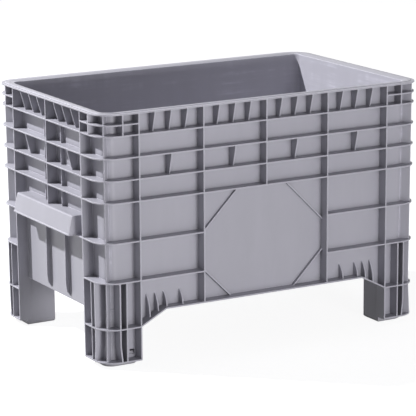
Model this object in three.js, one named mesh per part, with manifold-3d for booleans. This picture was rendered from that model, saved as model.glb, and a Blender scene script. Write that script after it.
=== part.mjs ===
// Plastic pallet box: one ribbed injection moulding on four hollow legs, each closed by a clip-in cap.
// Millimetres, +Z up. X runs along the box, Y across it, and Z = 0 is the ground under the caps.
import * as THREE from 'three';
import { mergeVertices } from 'three/addons/utils/BufferGeometryUtils.js';
import manifoldModule from 'manifold-3d';

const wasm = await manifoldModule();
wasm.setup();

// Overall sizes
const bodyLength = 998;
const bodyWidth = 640;
const boxHeight = 682;
const hoodReach = 21;

// Walls: the moulding tapers a little towards the ground
const wallThickness = 4.2;
const wallDraft = 0.0085;
const endWallInset = 31;
const sideWallInset = 33.5;
const wallCornerRadius = 26;
const wallCurveSteps = 4;
const floorTop = 157;
const floorThickness = 4.5;
const endWallBottom = 137;
const sideWallBottom = 146;

// Rim
const rimThickness = 4;
const rimCornerRadius = 58;
const beadWidth = 11;
const beadHeight = 1.5;
const leadInRun = 14;
const leadInDrop = 4;

// Ribs
const ribThickness = 3.6;
const ribInset = 1;
const ribDraft = 0.006;
const cornerRibSetback = 5;
const upperRows = 4;
const upperRowPitch = 58.6;
const lowerRowPitch = 106.5;
const legRibHeight = 109.5;
const legFlangeHeight = 20;
const bayLength = 192;
const bayDepth = 205;
const octagonUpperCut = 122;
const octagonLowerCut = 94;
const lowRibDepth = 9;
const gussetThickness = 3;
const gussetRelief = 15;
const gussetsPerBay = 3;
const loneGussetOffset = 127.5;
const flankRibOffset = 50;
const flankRibInset = 21;
const gridRibOffset = 47;
const slotNearOffset = 42;
const slotFarOffset = 61;
const slotKick = 5;
const slotKickHeight = 62;

// Arch between the legs on the long sides, with its fins
const archRun = 73;
const finOffsets = [32, 57, 83, 131];
const finTop = 188;
const finDepth = 22;

// Handle hoods on the short sides
const hoodTop = 392;
const hoodLip = 340;
const hoodHalfLength = 169;
const hoodTopReach = 9;
const hoodWall = 3.5;
const hoodLipThickness = 3;
const hoodFinOffset = 58;
const hoodFinDepth = 13;
const hoodFinCurl = 38;

// Ribs under the floor
const underRibDepth = 6.5;
const underRibThickness = 3;

// Legs and caps
const legWallInset = 28;
const legSlopeTop = 134;
const legSlopeBottom = 109;
const legSetback = 2;
const legCornerRadius = 30;
const legInnerRadius = 4;
const capThickness = 8;
const capBevel = 4;
const capGap = 0.3;
const windowWidth = 14.5;
const windowHeight = 14;
const windowCentreHeight = 34.5;
const windowFromLegEnd = 14;
const tongueThickness = 2.5;
const tongueClearance = 0.4;
const hookReach = 2.2;

// Worked out from the sizes above
const halfLength = bodyLength / 2;
const halfWidth = bodyWidth / 2;
const sideRibEnd = 2 * bayLength - 1;
const legFaceX = sideRibEnd - ribThickness / 2;
const legFaceY = bayDepth - ribThickness / 2;
const rowHeights = [];
for (let row = 1; row <= upperRows; row += 1) {
  rowHeights.push(boxHeight - row * upperRowPitch);
}
const fourthRow = rowHeights[upperRows - 1];
const fifthRow = fourthRow - lowerRowPitch;
const sixthRow = fifthRow - lowerRowPitch;
const rimUnderside = boxHeight - beadHeight - rimThickness;
const floorUnderside = floorTop - floorThickness;
const legHollowBottom = capThickness + capGap;

function solid(geometry) {
  const bare = geometry.clone();
  bare.deleteAttribute('normal');
  bare.deleteAttribute('uv');
  const merged = mergeVertices(bare, 1e-4);
  const mesh = new wasm.Mesh({
    numProp: 3,
    vertProperties: new Float32Array(merged.attributes.position.array),
    triVerts: new Uint32Array(merged.index.array),
  });
  return new wasm.Manifold(mesh);
}

function toGeometry(manifold) {
  const mesh = manifold.getMesh();
  const geometry = new THREE.BufferGeometry();
  geometry.setAttribute('position', new THREE.BufferAttribute(new Float32Array(mesh.vertProperties), 3));
  geometry.setIndex(new THREE.BufferAttribute(new Uint32Array(mesh.triVerts), 1));
  geometry.computeVertexNormals();
  return geometry;
}

function joined(solids) {
  return solids.reduce((whole, piece) => whole.add(piece));
}

function block(x0, x1, y0, y1, z0, z1) {
  const geometry = new THREE.BoxGeometry(x1 - x0, y1 - y0, z1 - z0);
  geometry.translate((x0 + x1) / 2, (y0 + y1) / 2, (z0 + z1) / 2);
  return solid(geometry);
}

// Rectangle centred on the axis with round corners
function roundedRectangle(halfX, halfY, radius) {
  const shape = new THREE.Shape();
  const corners = [
    [halfX - radius, -halfY + radius, -Math.PI / 2],
    [halfX - radius, halfY - radius, 0],
    [-halfX + radius, halfY - radius, Math.PI / 2],
    [-halfX + radius, -halfY + radius, Math.PI],
  ];
  for (const [x, y, start] of corners) {
    shape.absarc(x, y, radius, start, start + Math.PI / 2, false);
  }
  return shape;
}

// Upright prism whose faces lean inwards by the draft for each millimetre below the top of the box
function draftedPrism(halfX, halfY, radius, z0, z1, draft, curveSegments = 5) {
  const geometry = new THREE.ExtrudeGeometry(roundedRectangle(halfX, halfY, radius), {
    depth: z1 - z0,
    bevelEnabled: false,
    curveSegments,
  });
  geometry.translate(0, 0, z0);
  const position = geometry.attributes.position;
  for (let i = 0; i < position.count; i += 1) {
    const lean = draft * (boxHeight - position.getZ(i));
    position.setX(i, position.getX(i) - Math.sign(position.getX(i)) * lean);
    position.setY(i, position.getY(i) - Math.sign(position.getY(i)) * lean);
  }
  return solid(geometry);
}

// Outline drawn in X and Z, extruded across Y from y0 to y1
function plateAlongY(points, y0, y1) {
  const shape = new THREE.Shape(points.map(([x, z]) => new THREE.Vector2(x, z)));
  const geometry = new THREE.ExtrudeGeometry(shape, { depth: y1 - y0, bevelEnabled: false });
  geometry.rotateX(Math.PI / 2);
  geometry.translate(0, y1, 0);
  return geometry;
}

function profileAlongY(points, y0, y1) {
  return solid(plateAlongY(points, y0, y1));
}

// Outline drawn in Y and Z, extruded along X from x0 to x1
function profileAlongX(points, x0, x1) {
  const shape = new THREE.Shape(points.map(([y, z]) => new THREE.Vector2(y, z)));
  const geometry = new THREE.ExtrudeGeometry(shape, { depth: x1 - x0, bevelEnabled: false });
  geometry.rotateX(Math.PI / 2);
  geometry.rotateZ(Math.PI / 2);
  geometry.translate(x0, 0, 0);
  return solid(geometry);
}

// Strip of even thickness that follows a line of two or three points
function strip(points, thickness) {
  const half = thickness / 2;
  const left = [];
  const right = [];
  points.forEach(([u, v], i) => {
    const before = points[Math.max(i - 1, 0)];
    const after = points[Math.min(i + 1, points.length - 1)];
    const length = Math.hypot(after[0] - before[0], after[1] - before[1]);
    const normal = [-(after[1] - before[1]) / length, (after[0] - before[0]) / length];
    left.push([u + normal[0] * half, v + normal[1] * half]);
    right.unshift([u - normal[0] * half, v - normal[1] * half]);
  });
  return left.concat(right);
}

function bothSigns(build) {
  return [build(-1), build(1)];
}

// Outer faces that the ribs end on, and the space inside the walls that they stay out of
const ribEnvelope = draftedPrism(
  halfLength - ribInset, halfWidth - ribInset, rimCornerRadius - ribInset, 0, boxHeight, ribDraft);
const insideWalls = draftedPrism(
  halfLength - endWallInset - wallThickness / 2, halfWidth - sideWallInset - wallThickness / 2,
  wallCornerRadius - wallThickness / 2, -1, boxHeight + 1, wallDraft, wallCurveSteps);

function trimmed(ribs) {
  return ribs.intersect(ribEnvelope).subtract(insideWalls);
}

// Strip of wall that a rib crosses, as a distance from the middle of the box
const endReach = [halfLength - endWallInset - 15, halfLength + 5];
const sideReach = [halfWidth - sideWallInset - 15, halfWidth + 5];

function sideRib(x, zBottom, zTop, thickness = ribThickness) {
  return bothSigns((sign) => {
    const y = sideReach.map((reach) => sign * reach).sort((a, b) => a - b);
    return block(x - thickness / 2, x + thickness / 2, y[0], y[1], zBottom, zTop);
  });
}

function endRib(y, zBottom, zTop, thickness = ribThickness) {
  return bothSigns((sign) => {
    const x = endReach.map((reach) => sign * reach).sort((a, b) => a - b);
    return block(x[0], x[1], y - thickness / 2, y + thickness / 2, zBottom, zTop);
  });
}

function level(zTop, gaps = [], thickness = ribThickness) {
  let ring = block(-halfLength, halfLength, -halfWidth, halfWidth, zTop - thickness, zTop);
  for (const [x, y] of gaps) {
    ring = ring.subtract(block(-x, x, -y, y, zTop - thickness - 1, zTop + 1));
  }
  return ring;
}

// Walls, floor and the arch that the forks go under
function shell() {
  const lowest = legRibHeight - ribThickness;
  const walls = draftedPrism(
    halfLength - endWallInset, halfWidth - sideWallInset, wallCornerRadius,
    lowest, boxHeight - beadHeight, wallDraft, wallCurveSteps);
  const arch = profileAlongY([
    [-legFaceX, lowest - 1],
    [legFaceX, lowest - 1],
    [legFaceX, legRibHeight],
    [legFaceX - archRun, sideWallBottom],
    [archRun - legFaceX, sideWallBottom],
    [-legFaceX, legRibHeight],
  ], -halfWidth, halfWidth);
  const endArch = block(-halfLength, halfLength, -legFaceY, legFaceY, lowest - 1, endWallBottom);
  const pocketLength = halfLength - endWallInset - wallThickness - wallDraft * (boxHeight - endWallBottom);
  const pocketWidth = halfWidth - sideWallInset - wallThickness - wallDraft * (boxHeight - sideWallBottom);
  const pocket = block(-pocketLength, pocketLength, -pocketWidth, pocketWidth, lowest - 1, floorUnderside);
  return walls.subtract(arch).subtract(endArch).subtract(pocket);
}

// Room for the goods, with a sloping lead-in inside the rim
function cavity() {
  const room = draftedPrism(
    halfLength - endWallInset - wallThickness, halfWidth - sideWallInset - wallThickness,
    wallCornerRadius - wallThickness, floorTop, boxHeight + 1, wallDraft, wallCurveSteps);
  const leadIn = draftedPrism(
    halfLength - endWallInset - wallThickness + leadInRun,
    halfWidth - sideWallInset - wallThickness + leadInRun,
    wallCornerRadius - wallThickness + leadInRun,
    boxHeight - leadInDrop, boxHeight + 1, leadInRun / leadInDrop);
  return room.add(leadIn);
}

function rim() {
  const flange = draftedPrism(halfLength, halfWidth, rimCornerRadius, rimUnderside, boxHeight - beadHeight, 0);
  const spread = leadInRun + beadWidth - wallThickness;
  const bead = draftedPrism(
    halfLength - endWallInset + spread, halfWidth - sideWallInset + spread, wallCornerRadius + spread,
    rimUnderside, boxHeight, 0);
  return [flange, bead];
}

// Level ribs all round, broken where the handle, the smooth end panel and the octagon are
function levelRibs() {
  const cornersOnly = [[sideRibEnd, halfWidth + 1], [halfLength + 1, bayDepth]];
  const ribs = rowHeights.map((height) => level(height));
  ribs.push(level(boxHeight - upperRowPitch / 2, cornersOnly));
  ribs.push(level(fifthRow, [[bayLength, halfWidth + 1], [halfLength + 1, hoodHalfLength]]));
  ribs.push(level(sixthRow, [[bayLength, halfWidth + 1], [halfLength + 1, bayDepth]]));
  ribs.push(level(legRibHeight, cornersOnly));
  ribs.push(level(legFlangeHeight, cornersOnly));
  return trimmed(joined(ribs));
}

// Flange that closes the ribs along the arch
function archFlange() {
  const outline = strip([
    [-legFaceX - ribThickness, legRibHeight - ribThickness / 2],
    [archRun - legFaceX, sideWallBottom + ribThickness / 2],
    [0, sideWallBottom + ribThickness / 2],
    [legFaceX - archRun, sideWallBottom + ribThickness / 2],
    [legFaceX + ribThickness, legRibHeight - ribThickness / 2],
  ], ribThickness);
  return trimmed(profileAlongY(outline, -halfWidth, halfWidth));
}

function uprightRibs() {
  const top = rimUnderside + rimThickness / 2;
  const foot = legFlangeHeight - ribThickness;
  const ribs = [
    ...sideRib(0, fourthRow - ribThickness, top),
    ...endRib(0, hoodTop - hoodWall, top),
  ];
  for (const sign of [-1, 1]) {
    ribs.push(...sideRib(sign * bayLength, sideWallBottom, top));
    ribs.push(...sideRib(sign * sideRibEnd, foot, top));
    ribs.push(...endRib(sign * bayDepth, foot, top));
    ribs.push(...sideRib(sign * (sideRibEnd + gridRibOffset), rowHeights[0] - ribThickness, top));
    ribs.push(...endRib(sign * (bayDepth + gridRibOffset), rowHeights[0] - ribThickness, top));
  }
  return trimmed(joined(ribs));
}

// One rib on each corner, square to the curve: set back from the level ribs, and flared to meet the leg's flange
function cornerRibs() {
  const foot = legFlangeHeight - ribThickness;
  const top = rimUnderside + rimThickness / 2;
  const reach = (z, setback) => rimCornerRadius - ribInset - Math.SQRT2 * ribDraft * (boxHeight - z) - setback;
  const outline = [
    [0, foot],
    [reach(foot, 0), foot],
    [reach(legRibHeight, cornerRibSetback), legRibHeight],
    [reach(top, cornerRibSetback), top],
    [0, top],
  ];
  const ribs = [];
  for (const signX of [-1, 1]) {
    for (const signY of [-1, 1]) {
      const plate = plateAlongY(outline, -ribThickness / 2, ribThickness / 2);
      plate.rotateZ(Math.atan2(signY, signX));
      plate.translate(signX * (halfLength - rimCornerRadius), signY * (halfWidth - rimCornerRadius), 0);
      ribs.push(solid(plate));
    }
  }
  return trimmed(joined(ribs));
}

// Plate that stands out to the rib line at its top and falls back towards the wall at its foot
function gusset(side, along, zTop, zBottom) {
  const isEnd = side.axis === 'x';
  const edge = isEnd ? halfLength : halfWidth;
  const root = isEnd ? endReach[0] : sideReach[0];
  const points = [
    [side.sign * root, zBottom],
    [side.sign * (edge - ribInset - gussetRelief), zBottom],
    [side.sign * edge, zTop],
    [side.sign * root, zTop],
  ];
  const half = gussetThickness / 2;
  const build = isEnd ? profileAlongY : profileAlongX;
  return build(points, along - half, along + half);
}

function gussets() {
  const plates = [];
  const top = rimUnderside + rimThickness / 2;
  const first = rowHeights[0] - ribThickness / 2;
  for (const sign of [-1, 1]) {
    const longSide = { axis: 'y', sign };
    const shortSide = { axis: 'x', sign };
    for (let bay = -2; bay < 2; bay += 1) {
      for (let i = 1; i <= gussetsPerBay; i += 1) {
        const x = bayLength * (bay + i / (gussetsPerBay + 1));
        plates.push(gusset(longSide, x, top, first));
      }
      const middle = bayLength * (bay + 0.5);
      plates.push(gusset(longSide, middle, rowHeights[1] - ribThickness / 2, rowHeights[2] - ribThickness / 2));
    }
    for (let bay = -1; bay < 1; bay += 1) {
      for (let i = 1; i <= gussetsPerBay; i += 1) {
        plates.push(gusset(shortSide, bayDepth * (bay + i / (gussetsPerBay + 1)), top, first));
      }
      const lone = Math.sign(bay + 0.5) * loneGussetOffset;
      plates.push(gusset(shortSide, lone, rowHeights[1] - ribThickness / 2, rowHeights[2] - ribThickness / 2));
    }
  }
  return trimmed(joined(plates));
}

// Close pair of ribs on each face of a leg, the far one kicked out at the foot
function legSlotRibs() {
  const foot = legFlangeHeight - ribThickness;
  const top = sixthRow - ribThickness / 2;
  const ribs = [];
  for (const sign of [-1, 1]) {
    ribs.push(...sideRib(sign * (sideRibEnd + slotNearOffset), foot, top));
    ribs.push(...endRib(sign * (bayDepth + slotNearOffset), foot, top));
    const bent = (start) => strip([
      [sign * (start + slotFarOffset), top],
      [sign * (start + slotFarOffset), slotKickHeight],
      [sign * (start + slotFarOffset - slotKick), foot],
    ], ribThickness);
    for (const side of [-1, 1]) {
      const y = sideReach.map((reach) => side * reach).sort((a, b) => a - b);
      ribs.push(profileAlongY(bent(sideRibEnd), y[0], y[1]));
      const x = endReach.map((reach) => side * reach).sort((a, b) => a - b);
      ribs.push(profileAlongX(bent(bayDepth), x[0], x[1]));
    }
  }
  return trimmed(joined(ribs));
}

// Low ribs that cut the corners of the middle panel into an octagon
function octagonRibs() {
  const low = sideWallBottom + ribThickness / 2;
  const high = fourthRow - ribThickness / 2;
  const plates = [];
  const y = halfWidth - sideWallInset - wallDraft * (boxHeight - fifthRow) + lowRibDepth;
  for (const side of [-1, 1]) {
    for (const sign of [-1, 1]) {
      const outlines = [
        strip([[sign * bayLength, low + octagonLowerCut], [sign * (bayLength - octagonLowerCut), low]], gussetThickness),
        strip([[sign * bayLength, high - octagonUpperCut], [sign * (bayLength - octagonUpperCut), high]], gussetThickness),
      ];
      for (const outline of outlines) {
        plates.push(side > 0 ? profileAlongY(outline, sideReach[0], y) : profileAlongY(outline, -y, -sideReach[0]));
      }
    }
  }
  return trimmed(joined(plates));
}

// Pointed fins that stiffen the arch next to the legs
function archFins() {
  const wall = halfWidth - sideWallInset - wallDraft * (boxHeight - finTop);
  const plates = [];
  for (const sign of [-1, 1]) {
    for (const offset of finOffsets) {
      const x = sideRibEnd - offset;
      const rise = (sideWallBottom - legRibHeight) / archRun;
      const foot = Math.min(legRibHeight + offset * rise, sideWallBottom) + ribThickness / 2;
      const points = [
        [sign * sideReach[0], foot],
        [sign * (wall + finDepth), foot],
        [sign * (wall + finDepth * 0.88), foot + (finTop - foot) * 0.4],
        [sign * (wall + finDepth * 0.5), foot + (finTop - foot) * 0.75],
        [sign * (wall - 1), finTop],
        [sign * sideReach[0], finTop],
      ];
      const half = gussetThickness / 2;
      plates.push(profileAlongX(points, x - half, x + half));
      plates.push(profileAlongX(points, -x - half, -x + half));
    }
  }
  return trimmed(joined(plates));
}

// Shallow ribs above the handle hood
function flankRibs() {
  const ribs = [];
  const outer = halfLength - flankRibInset;
  for (const sign of [-1, 1]) {
    const half = gussetThickness / 2;
    const y = sign * flankRibOffset;
    for (const side of bothSigns((value) => value)) {
      const x = [side * endReach[0], side * outer].sort((a, b) => a - b);
      ribs.push(block(x[0], x[1], y - half, y + half, hoodTop - hoodWall, rowHeights[0] - ribThickness / 2));
    }
  }
  return trimmed(joined(ribs));
}

// Handle hood: a roof, a sloping front and two cheeks, open below for the fingers
function hood(sign) {
  const wall = halfLength - endWallInset - 10;
  const topEdge = halfLength + hoodTopReach;
  const lipEdge = halfLength + hoodReach;
  const outer = [
    [sign * wall, hoodTop],
    [sign * (topEdge - 3), hoodTop],
    [sign * topEdge, hoodTop - 2.5],
    [sign * (lipEdge - 2), hoodLip + hoodLipThickness + 1.5],
    [sign * lipEdge, hoodLip + hoodLipThickness],
    [sign * lipEdge, hoodLip],
    [sign * wall, hoodLip],
  ];
  const inner = [
    [sign * (wall - 20), hoodTop - hoodWall],
    [sign * (topEdge - hoodWall), hoodTop - hoodWall],
    [sign * (lipEdge - 2 - hoodWall), hoodLip - 1],
    [sign * (wall - 20), hoodLip - 1],
  ];
  const solidHood = profileAlongY(outer, -hoodHalfLength, hoodHalfLength);
  const fingerSpace = profileAlongY(inner, hoodWall - hoodHalfLength, hoodHalfLength - hoodWall);
  return solidHood.subtract(fingerSpace).subtract(insideWalls);
}

// Two slim fins run down the end panel from the hood and curl back into the wall
function hoodFins() {
  const fins = [];
  for (const side of [-1, 1]) {
    const wall = halfLength - endWallInset - wallDraft * (boxHeight - endWallBottom);
    const foot = endWallBottom + 6;
    const points = [
      [side * endReach[0], hoodTop - hoodWall / 2],
      [side * (wall + hoodFinDepth), hoodTop - hoodWall / 2],
      [side * (wall + hoodFinDepth), foot + hoodFinCurl],
      [side * (wall + hoodFinDepth * 0.75), foot + hoodFinCurl * 0.4],
      [side * (wall - 1), foot],
      [side * endReach[0], foot],
    ];
    for (const sign of [-1, 1]) {
      const y = sign * hoodFinOffset;
      fins.push(profileAlongY(points, y - gussetThickness / 2, y + gussetThickness / 2));
    }
  }
  return joined(fins).subtract(insideWalls);
}

function underfloorRibs() {
  const ribs = [];
  const reachX = halfLength - endWallInset - wallThickness - 2;
  const reachY = halfWidth - sideWallInset - wallThickness - 2;
  const half = underRibThickness / 2;
  const z = [floorUnderside - underRibDepth, floorUnderside + 1];
  for (let i = -3; i <= 3; i += 1) {
    const x = i * bayLength / 2;
    ribs.push(block(x - half, x + half, -reachY, reachY, z[0], z[1]));
  }
  for (let i = -2; i <= 2; i += 1) {
    const y = i * bayDepth / 2;
    ribs.push(block(-reachX, reachX, y - half, y + half, z[0], z[1]));
  }
  return joined(ribs);
}

// Footprint of a leg in its own corner, shrunk by an inset on every face
function legFootprint(signX, signY, inset, z0, z1) {
  const x0 = legFaceX + legSetback + inset;
  const x1 = halfLength - legWallInset - inset;
  const y0 = legFaceY + legSetback + inset;
  const y1 = halfWidth - sideWallInset - wallDraft * (boxHeight - legRibHeight) - inset;
  const inner = Math.max(legInnerRadius - inset, 0.8);
  const outer = Math.max(legCornerRadius - inset, 2);
  const shape = new THREE.Shape();
  shape.absarc(x0 + inner, y0 + inner, inner, Math.PI, 1.5 * Math.PI, false);
  shape.lineTo(x1, y0);
  shape.absarc(x1 - outer, y1 - outer, outer, 0, Math.PI / 2, false);
  shape.lineTo(x0, y1);
  const corner = shape.getPoints(5).map((point) => new THREE.Vector2(point.x * signX, point.y * signY));
  const geometry = new THREE.ExtrudeGeometry(new THREE.Shape(corner), { depth: z1 - z0, bevelEnabled: false });
  geometry.translate(0, 0, z0);
  return solid(geometry);
}

// The leg stands out a little further than the end wall and slopes back into it above
function legSlope(signX, inset) {
  const outer = halfLength - legWallInset - inset;
  const upper = halfLength - endWallInset - wallDraft * (boxHeight - legSlopeTop) - inset;
  const points = [
    [signX * (legFaceX - 1), -1],
    [signX * outer, -1],
    [signX * outer, legSlopeBottom],
    [signX * upper, legSlopeTop],
    [signX * upper, floorTop],
    [signX * (legFaceX - 1), floorTop],
  ];
  return profileAlongY(points, -halfWidth, halfWidth);
}

function leg(signX, signY) {
  const top = floorTop - floorThickness / 2;
  return legFootprint(signX, signY, 0, legHollowBottom, top).intersect(legSlope(signX, 0));
}

function legHollow(signX, signY) {
  return legFootprint(signX, signY, wallThickness, -1, floorUnderside).intersect(legSlope(signX, wallThickness));
}

// Window that the cap's hooked tongue snaps into, in the leg's outer face on the long side
function legWindow(signX, signY) {
  const x = signX * (legFaceX + windowFromLegEnd);
  const half = windowWidth / 2;
  const z = [windowCentreHeight - windowHeight / 2, windowCentreHeight + windowHeight / 2];
  const outside = halfWidth - sideWallInset;
  const inside = outside - wallDraft * boxHeight - wallThickness - legInnerRadius;
  const y = [inside, outside + 2].map((value) => signY * value).sort((a, b) => a - b);
  return block(x - half, x + half, y[0], y[1], z[0], z[1]);
}

function boxBody() {
  let body = joined([
    shell(), ...rim(), levelRibs(), archFlange(), uprightRibs(), cornerRibs(), gussets(), legSlotRibs(),
    octagonRibs(), archFins(), flankRibs(), hood(-1), hood(1), hoodFins(), underfloorRibs(),
  ]);
  for (const signX of [-1, 1]) {
    for (const signY of [-1, 1]) {
      body = body.add(leg(signX, signY));
      body = body.subtract(legHollow(signX, signY));
      body = body.subtract(legWindow(signX, signY));
    }
  }
  return body.subtract(cavity());
}

// Cap: a bevelled plate under the leg with two tongues that stand up inside it, the outer one hooked
function legCap(signX, signY) {
  const plate = legFootprint(signX, signY, 0, capBevel, capThickness);
  const sole = legFootprint(signX, signY, capBevel, 0, capThickness - 1);
  const middle = legFootprint(signX, signY, capBevel / 2, capBevel / 3, capThickness - 1);
  const x = signX * (legFaceX + windowFromLegEnd);
  const half = windowWidth / 2 - 1.5;
  const hollowY = [
    legFaceY + legSetback + wallThickness + tongueClearance,
    halfWidth - sideWallInset - wallDraft * (boxHeight - legRibHeight) - wallThickness - tongueClearance,
  ];
  const top = windowCentreHeight + 1;
  const hookZ = [windowCentreHeight - windowHeight / 2 + 0.5, windowCentreHeight - 1];
  const pieces = [plate, middle, sole];
  for (const face of hollowY) {
    const inward = face === hollowY[0] ? 1 : -1;
    const tongue = [signY * face, signY * (face + inward * tongueThickness)].sort((a, b) => a - b);
    pieces.push(block(x - half, x + half, tongue[0], tongue[1], capThickness - 1, top));
  }
  const hook = [
    [signY * (hollowY[1] - 1), hookZ[0]],
    [signY * (hollowY[1] + hookReach + tongueClearance), hookZ[0]],
    [signY * (hollowY[1] + hookReach + tongueClearance), hookZ[0] + 2],
    [signY * (hollowY[1] - 1), hookZ[1]],
  ];
  pieces.push(profileAlongX(hook, x - half, x + half));
  return joined(pieces);
}

const greyPlastic = new THREE.MeshStandardMaterial({ color: 0x9a99a3, roughness: 0.5, metalness: 0 });
const capPlastic = new THREE.MeshStandardMaterial({ color: 0x8f8e97, roughness: 0.55, metalness: 0 });

const palletBox = new THREE.Group();
palletBox.name = 'pallet_box';

const body = new THREE.Mesh(toGeometry(boxBody()), greyPlastic);
body.name = 'box_body';
palletBox.add(body);

const capNames = [['front_left', -1, -1], ['front_right', 1, -1], ['back_left', -1, 1], ['back_right', 1, 1]];
for (const [place, signX, signY] of capNames) {
  const cap = new THREE.Mesh(toGeometry(legCap(signX, signY)), capPlastic);
  cap.name = `leg_cap_${place}`;
  palletBox.add(cap);
}

export default palletBox;
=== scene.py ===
import math

import bpy
from mathutils import Matrix, Vector

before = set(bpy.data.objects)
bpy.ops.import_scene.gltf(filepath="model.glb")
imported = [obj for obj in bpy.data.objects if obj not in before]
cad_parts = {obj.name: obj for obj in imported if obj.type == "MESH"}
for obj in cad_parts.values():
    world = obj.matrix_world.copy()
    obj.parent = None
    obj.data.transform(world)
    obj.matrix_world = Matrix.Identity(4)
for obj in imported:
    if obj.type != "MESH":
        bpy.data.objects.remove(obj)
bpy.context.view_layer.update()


# One socket of a node tree, so that shader maths reads as Python
class Shader:
    def __init__(self, tree, socket=None):
        self.tree = tree
        self.socket = socket

    def node(self, kind, settings, sockets, output=0):
        made = self.tree.nodes.new("ShaderNode" + kind)
        for name, value in settings.items():
            setattr(made, name, value)
        for name, value in sockets.items():
            if isinstance(value, Shader):
                self.tree.links.new(value.socket, made.inputs[name])
            else:
                made.inputs[name].default_value = value
        return Shader(self.tree, made.outputs[output])

    def into(self, socket):
        self.tree.links.new(self.socket, socket)

    def math(self, operation, *values):
        return self.node("Math", {"operation": operation}, dict(enumerate(values)))

    def __add__(self, other):
        return self.math("ADD", self, other)

    def __radd__(self, other):
        return self.math("ADD", other, self)

    def __sub__(self, other):
        return self.math("SUBTRACT", self, other)

    def __rsub__(self, other):
        return self.math("SUBTRACT", other, self)

    def __mul__(self, other):
        return self.math("MULTIPLY", self, other)

    def __rmul__(self, other):
        return self.math("MULTIPLY", other, self)

    def __lt__(self, other):
        return self.math("LESS_THAN", self, other)

    def __gt__(self, other):
        return self.math("GREATER_THAN", self, other)

    def __abs__(self):
        return self.math("ABSOLUTE", self)

    def larger(self, other):
        return self.math("MAXIMUM", self, other)

    def root(self):
        return self.math("SQRT", self)

    def wrap(self, low, high):
        return self.math("WRAP", self, high, low)

    def ramp(self, low, high, start=0.0, end=1.0):
        ends = {"Value": self, "From Min": low, "From Max": high, "To Min": start, "To Max": end}
        return self.node("MapRange", {"interpolation_type": "SMOOTHSTEP"}, ends)

    def stretched(self, x, y, z):
        return self.node("Mapping", {}, {"Vector": self, "Scale": (x, y, z)})

    def noise(self, scale, detail, roughness):
        look = {"Vector": self, "Scale": scale, "Detail": detail, "Roughness": roughness}
        return self.node("TexNoise", {}, look)


# Camera, as fitted to the photograph: angles in degrees, the rest in metres, lens and sensor in millimetres
camera = {
    "azimuth": -29.48,
    "elevation": 12.9,
    "roll": -0.505,
    "distance": 6.328,
    "right": -0.0014,
    "up": -0.0263,
    "aimHeight": 0.347,
    "lens": 195.82,
    "sensor": 36.0,
    "farthest": 50.0,
}


def makeCamera():
    azimuth, elevation, roll = (math.radians(camera[name]) for name in ("azimuth", "elevation", "roll"))
    forward = math.cos(elevation)
    back = Vector((math.sin(azimuth) * forward, -math.cos(azimuth) * forward, math.sin(elevation)))
    level = Vector((math.cos(azimuth), math.sin(azimuth), 0.0))
    rise = back.cross(level)
    right = level * math.cos(roll) + rise * math.sin(roll)
    up = rise * math.cos(roll) - level * math.sin(roll)
    place = Vector((0.0, 0.0, camera["aimHeight"])) + back * camera["distance"]
    place += right * camera["right"] + up * camera["up"]
    data = bpy.data.cameras.new("camera")
    data.lens = camera["lens"]
    data.sensor_width = camera["sensor"]
    data.clip_end = camera["farthest"]
    obj = bpy.data.objects.new("camera", data)
    obj.matrix_world = Matrix.Translation(place) @ Matrix((right, up, back)).transposed().to_4x4()
    bpy.context.scene.collection.objects.link(obj)
    bpy.context.scene.camera = obj


# Lights: where each stands, what it points at, its size in metres, its strength and its tint
keyLight = {
    "name": "key",
    "place": (-3.0, 2.0, 3.85),
    "aim": (0.0, 0.0, 0.35),
    "size": (0.12, 0.12),
    "watts": 325.0,
    "tint": (0.97, 0.97, 1.0),
}
frontLight = {
    "name": "front",
    "place": (0.3, -5.6, 0.42),
    "aim": (0.0, 0.0, 0.35),
    "size": (1.7, 0.95),
    "watts": 178.0,
    "tint": (0.98, 0.97, 1.0),
}


def makeLight(spec):
    data = bpy.data.lights.new(spec["name"], "AREA")
    data.shape = "RECTANGLE"
    data.size, data.size_y = spec["size"]
    data.energy = spec["watts"]
    data.color = spec["tint"]
    obj = bpy.data.objects.new(spec["name"], data)
    place = Vector(spec["place"])
    turn = (Vector(spec["aim"]) - place).to_track_quat("-Z", "Y")
    obj.matrix_world = Matrix.Translation(place) @ turn.to_matrix().to_4x4()
    obj.visible_camera = False
    bpy.context.scene.collection.objects.link(obj)


# Room: light from all round, a white background, and a pale paper floor just under the leg caps
room = {
    "skyStrength": 0.135,
    "skyTint": (0.93, 0.93, 1.0, 1.0),
    "backgroundWhite": 1.0,
    "floorSize": 14.0,
    "floorTone": (0.4, 0.4, 0.4, 1.0),
    "floorGlow": 0.9,
    "floorDrop": 0.0005,
}


# What the camera and reflections see, while all other rays meet the plain surface
def forCamera(plain, seen, socket):
    direct, mirrored, through = (
        plain.node("LightPath", {}, {}, "Is " + kind + " Ray")
        for kind in ("Camera", "Glossy", "Transmission")
    )
    seeing = direct.larger(mirrored.larger(through))
    plain.node("MixShader", {}, {"Fac": seeing, 1: plain, 2: seen}).into(socket)


# The glow lifts the paper to near white and leaves the box's shadow on it
def makeFloor():
    bpy.ops.object.select_all(action="DESELECT")
    bpy.ops.mesh.primitive_plane_add(size=room["floorSize"], location=(0.0, 0.0, -room["floorDrop"]))
    floor = bpy.context.object
    floor.name = "studio_floor"
    material = bpy.data.materials.new("studio_floor")
    material.use_nodes = True
    tree = material.node_tree
    tree.nodes.remove(tree.nodes["Principled BSDF"])
    paper = Shader(tree).node("BsdfDiffuse", {}, {"Color": room["floorTone"]})
    glow = paper.node("Emission", {}, {"Strength": room["floorGlow"]})
    shaded = paper.node("AddShader", {}, {0: paper, 1: glow})
    forCamera(paper, shaded, tree.nodes["Material Output"].inputs["Surface"])
    floor.data.materials.append(material)


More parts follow.
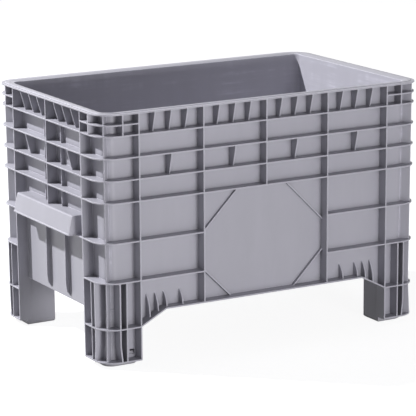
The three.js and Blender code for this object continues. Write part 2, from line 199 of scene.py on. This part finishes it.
def makeWorld():
    world = bpy.data.worlds.new("studio")
    world.use_nodes = True
    tree = world.node_tree
    sky = tree.nodes["Background"]
    sky.inputs["Color"].default_value = room["skyTint"]
    sky.inputs["Strength"].default_value = room["skyStrength"]
    plain = Shader(tree, sky.outputs[0])
    white = plain.node("Emission", {}, {"Strength": room["backgroundWhite"]})
    forCamera(plain, white, tree.nodes["World Output"].inputs["Surface"])
    bpy.context.scene.world = world


# Painted highlight on edges and rib roots: the turn of the rounded normal, as a cosine, at full highlight
# and at none
edgeHighlightSpec = {"samples": 6, "full": 0.80, "none": 0.995}


def bevelled(start, radius):
    return start.node("Bevel", {"samples": edgeHighlightSpec["samples"]}, {"Radius": radius})


# Painted highlight: pale where the rounded normal turns away from the face's own, on outer edges and in the
# concave roots of ribs alike
def paintedEdgeHighlight(start, radius):
    flat = start.node("NewGeometry", {}, {}, "Normal")
    both = {0: bevelled(start, radius), 1: flat}
    turn = start.node("VectorMath", {"operation": "DOT_PRODUCT"}, both, "Value")
    return 1.0 - turn.ramp(edgeHighlightSpec["full"], edgeHighlightSpec["none"])


# Painted shade in corners: how open a spot is at full painted shade and at none
cornerShadeSpec = {"samples": 8, "full": 0.15, "none": 0.85}


# 0 deep in a corner, 1 on an open face
def openness(start, reach):
    around = start.node("AmbientOcclusion", {"samples": cornerShadeSpec["samples"]}, {"Distance": reach}, "AO")
    return around.ramp(cornerShadeSpec["full"], cornerShadeSpec["none"])


# Marks of the ejector pins on the roof of each handle hood; core is the flat share of the radius
pinMark = {
    "reach": 0.493,
    "height": 0.392,
    "roofBand": (0.001, 0.002),
    "spacing": 0.105,
    "radius": 0.0042,
    "core": 0.6,
    "darker": 0.18,
    "dent": 0.9,
}


def pinMarks(x, y, z):
    onRoof = 1.0 - abs(z - pinMark["height"]).ramp(*pinMark["roofBand"])
    along = abs(y).wrap(-pinMark["spacing"] / 2, pinMark["spacing"] / 2)
    across = abs(x) - pinMark["reach"]
    distance = (along * along + across * across).root()
    disc = 1.0 - distance.ramp(pinMark["radius"] * pinMark["core"], pinMark["radius"])
    return disc * onRoof


# Inside of the tub: painted light that lifts every inner face, standing in for bounce light, and level
# streaks that goods have rubbed into it, coming and going in patches
streakAndBounceLift = {
    "halfLength": 0.4601,
    "halfWidth": 0.2786,
    "draft": 0.0085,
    "above": 0.158,
    "lighter": 0.16,
    "streakStretch": (5.0, 5.0, 70.0),
    "streak": (1.0, 4.0, 0.65),
    "streakRange": (0.45, 0.75),
    "streakLift": 0.4,
    "patchStretch": (14.0, 14.0, 3.0),
    "patch": (1.0, 3.0, 0.6),
    "patchRange": (0.4, 0.7),
}


# The mask follows the lean of the inner walls, so that neither the painted light nor a streak shows outside
def insideBounceAndStreaks(where, x, y, z):
    lean = z * streakAndBounceLift["draft"]
    betweenEnds = abs(x) - lean < streakAndBounceLift["halfLength"]
    betweenSides = abs(y) - lean < streakAndBounceLift["halfWidth"]
    aboveFloor = z > streakAndBounceLift["above"]
    streaks = where.stretched(*streakAndBounceLift["streakStretch"]).noise(*streakAndBounceLift["streak"]).ramp(*streakAndBounceLift["streakRange"])
    patches = where.stretched(*streakAndBounceLift["patchStretch"]).noise(*streakAndBounceLift["patch"]).ramp(*streakAndBounceLift["patchRange"])
    # painted light: an even lift for bounce light, plus the rubbed streaks where patches allow
    bounceAndStreaks = streakAndBounceLift["lighter"] + streaks * patches * streakAndBounceLift["streakLift"]
    return betweenEnds * betweenSides * aboveFloor * bounceAndStreaks


# Plastic of the body, with how pale the painted highlight on its edges and rib roots is and how dark and
# wide the painted shade in its corners is
bodyPlastic = {
    "name": "grey_polyethylene",
    "colour": (0.435, 0.43, 0.475),
    "roughness": 0.42,
    "edgeRadius": 0.0018,
    "edgeLift": 1.3,
    "shadeDepth": 0.38,
    "shadeReach": 0.024,
}

# Plastic of the leg caps, a little lighter and rougher
capPlastic = {
    "name": "leg_cap_polyethylene",
    "colour": (0.47, 0.465, 0.50),
    "roughness": 0.5,
    "edgeRadius": 0.0012,
    "edgeLift": 0.2,
    "shadeDepth": 0.4,
    "shadeReach": 0.02,
}

# What both plastics share; a noise is its scale, detail and roughness
moulding = {
    "cloud": (3.0, 3.0, 0.5),
    "flowStretch": (6.0, 6.0, 1.2),
    "flow": (4.0, 3.0, 0.6),
    "grain": (900.0, 2.0, 0.6),
    "dustStretch": (40.0, 40.0, 160.0),
    "dust": (1.0, 4.0, 0.7),
    "dustRange": (0.62, 0.78),
    "dustLift": 0.06,
    "cloudShare": 0.6,
    "flowShare": 0.4,
    "toneRange": (0.3, 0.7),
    "toneDark": 0.965,
    "tonePale": 1.035,
    "grainTone": 0.03,
    "grainRelief": 0.12,
    "flowRelief": 0.5,
    "glossier": 0.04,
    "duller": 0.05,
    "ior": 1.5,
    "specular": 0.42,
    "bumpStrength": 0.35,
    "bumpDistance": 0.0006,
}


def mouldedPlastic(spec, isBody):
    material = bpy.data.materials.new(spec["name"])
    material.use_nodes = True
    tree = material.node_tree
    plastic = tree.nodes["Principled BSDF"]
    start = Shader(tree)
    where = start.node("TexCoord", {}, {}, "Object")
    x, y, z = (start.node("SeparateXYZ", {}, {"Vector": where}, axis) for axis in "XYZ")

    cloud = where.noise(*moulding["cloud"])
    flow = where.stretched(*moulding["flowStretch"]).noise(*moulding["flow"])
    grain = where.noise(*moulding["grain"])
    specks = where.stretched(*moulding["dustStretch"]).noise(*moulding["dust"])
    dust = specks.ramp(*moulding["dustRange"], 0.0, moulding["dustLift"])
    mottle = cloud * moulding["cloudShare"] + flow * moulding["flowShare"]
    tone = mottle.ramp(*moulding["toneRange"], moulding["toneDark"], moulding["tonePale"])
    # painted highlight along edges and rib roots, lifted by edgeLift
    edgeHighlit = paintedEdgeHighlight(start, spec["edgeRadius"]) * spec["edgeLift"]
    shade = tone + dust + (grain - 0.5) * moulding["grainTone"] + edgeHighlit
    relief = grain * moulding["grainRelief"] + flow * moulding["flowRelief"]
    if isBody:
        marked = pinMarks(x, y, z)
        # pin marks darken their discs; the tub's inside gets its painted bounce light and rubbed streaks
        shade = shade - marked * pinMark["darker"] + insideBounceAndStreaks(where, x, y, z)
        relief = relief - marked * pinMark["dent"]
    # painted shade: the base colour darkens where the ambient occlusion node finds close surfaces
    unshaded = openness(start, spec["shadeReach"]) * spec["shadeDepth"] + (1.0 - spec["shadeDepth"])
    tinted = {0: spec["colour"], "Scale": shade * unshaded}
    start.node("VectorMath", {"operation": "SCALE"}, tinted).into(plastic.inputs["Base Color"])

    smoothest = spec["roughness"] - moulding["glossier"]
    roughest = spec["roughness"] + moulding["duller"]
    gloss = cloud.ramp(*moulding["toneRange"], smoothest, roughest) + dust
    gloss.into(plastic.inputs["Roughness"])
    plastic.inputs["IOR"].default_value = moulding["ior"]
    plastic.inputs["Specular IOR Level"].default_value = moulding["specular"]

    surface = {
        "Strength": moulding["bumpStrength"],
        "Distance": moulding["bumpDistance"],
        "Height": relief,
        "Normal": bevelled(start, spec["edgeRadius"]),
    }
    start.node("Bump", {}, surface).into(plastic.inputs["Normal"])
    return material


def dressNodes():
    body = mouldedPlastic(bodyPlastic, True)
    cap = mouldedPlastic(capPlastic, False)
    for name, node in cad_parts.items():
        material = body if name == "box_body" else cap
        if node.material_slots:
            for slot in node.material_slots:
                slot.material = material
        else:
            node.data.materials.append(material)


makeCamera()
print("camera made")
makeLight(keyLight)
makeLight(frontLight)
makeFloor()
makeWorld()
bpy.context.scene.view_settings.view_transform = "Standard"
print("studio made")
dressNodes()
print("materials made")
